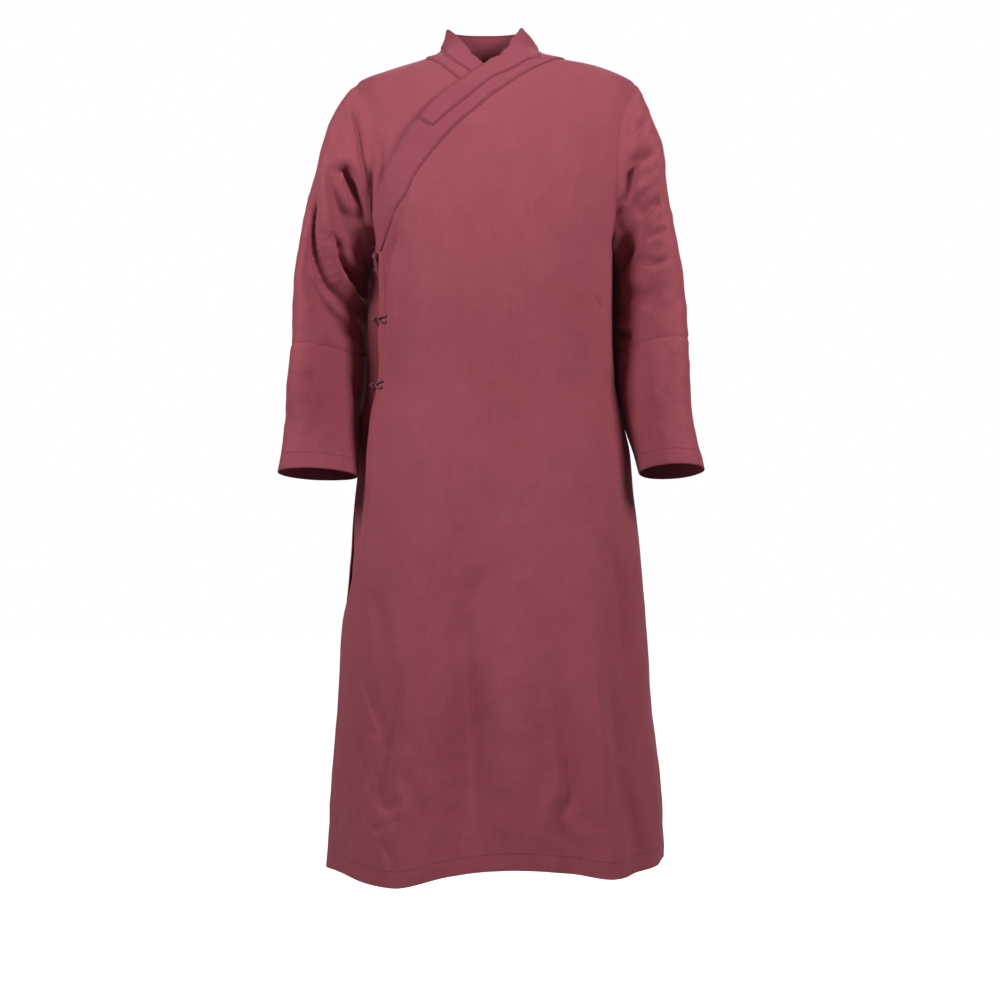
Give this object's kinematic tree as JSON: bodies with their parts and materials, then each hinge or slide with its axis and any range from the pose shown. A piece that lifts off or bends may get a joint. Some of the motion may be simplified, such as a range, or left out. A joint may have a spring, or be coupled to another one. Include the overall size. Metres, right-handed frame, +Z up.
{
  "type": "monk robe",
  "caption": "long maroon monk robe with crossed collar, long sleeves and a side closing with a tie and knot buttons, in its worn shape",
  "frame": {"origin": "where the robe hangs on the wearer's shoulders, at the foot of the neck", "axes": "+Z is up, -Y is the front, +X is the wearer's left"},
  "size_m": [0.6845, 0.4003, 1.395],
  "materials": {
    "robe_cloth": "matte plain-woven linen",
    "band_cloth": "matte plain-woven linen, in several layers",
    "cord_cloth": "rolled cloth cord"
  },
  "bodies": {
    "root": {"back_panel": "robe_cloth", "outer_front": "robe_cloth", "under_front": "robe_cloth", "sleeve_left": "robe_cloth", "sleeve_right": "robe_cloth", "cuff_piece_left": "robe_cloth", "cuff_piece_right": "robe_cloth", "outer_band": "band_cloth", "neckband": "band_cloth", "side_tie_knot": "cord_cloth", "side_tie_end_1": "cord_cloth", "side_tie_end_2": "cord_cloth", "button_loop_1": "cord_cloth", "button_loop_2": "cord_cloth", "button_knob_1": "cord_cloth", "button_knob_2": "cord_cloth"}
  },
  "joints": []
}
